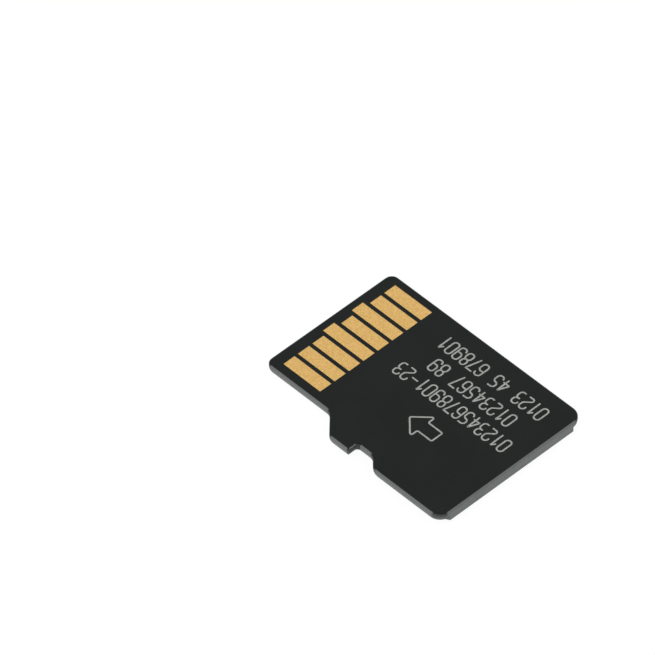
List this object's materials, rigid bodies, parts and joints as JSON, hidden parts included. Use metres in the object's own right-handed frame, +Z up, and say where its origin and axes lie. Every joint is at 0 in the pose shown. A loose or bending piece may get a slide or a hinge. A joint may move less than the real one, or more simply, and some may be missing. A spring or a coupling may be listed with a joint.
{
  "type": "memory card",
  "caption": "Thin black memory card of the smallest common removable size, with a stepped and notched side, gold contacts and a finger lip.",
  "frame": {"origin": "under the middle of the card's bounding box, at the height of the finger lip's crest", "axes": "+Y to the contact end, which goes into the socket first; +X to the straight side, away from the notch; +Z up through the contact face"},
  "size_m": [0.011, 0.015, 0.001],
  "materials": {
    "black_epoxy": "satin black moulded epoxy, finely matt",
    "laminate": "cut edge of dark glass and resin laminate",
    "black_mask": "smooth satin black solder mask",
    "green_mask": "glossy green solder mask",
    "gold_plate": "fine-grained satin gold plating on copper",
    "copper": "etched copper",
    "silicon": "polished dark grey silicon",
    "die_film": "cured adhesive film",
    "gold_wire": "drawn gold wire",
    "capacitor": "fired brown ceramic with tinned ends",
    "solder": "dull reflowed tin solder"
  },
  "bodies": {
    "root": {"moulded_body": "black_epoxy", "board_core": "laminate", "contact_mask": "black_mask", "inner_mask": "green_mask", "contact_1": "gold_plate", "contact_2": "gold_plate", "contact_3": "gold_plate", "contact_4": "gold_plate", "contact_5": "gold_plate", "contact_6": "gold_plate", "contact_7": "gold_plate", "contact_8": "gold_plate", "vias": "copper", "inner_copper": "copper", "flash_die_lower": "silicon", "flash_die_upper": "silicon", "controller_die": "silicon", "flash_film_lower": "die_film", "flash_film_upper": "die_film", "controller_film": "die_film", "lower_flash_wires": "gold_wire", "upper_flash_wires": "gold_wire", "bus_wires": "gold_wire", "host_wires": "gold_wire", "capacitor_1": "capacitor", "capacitor_2": "capacitor", "capacitor_3": "capacitor", "capacitor_4": "capacitor", "capacitor_solder": "solder"}
  },
  "joints": []
}
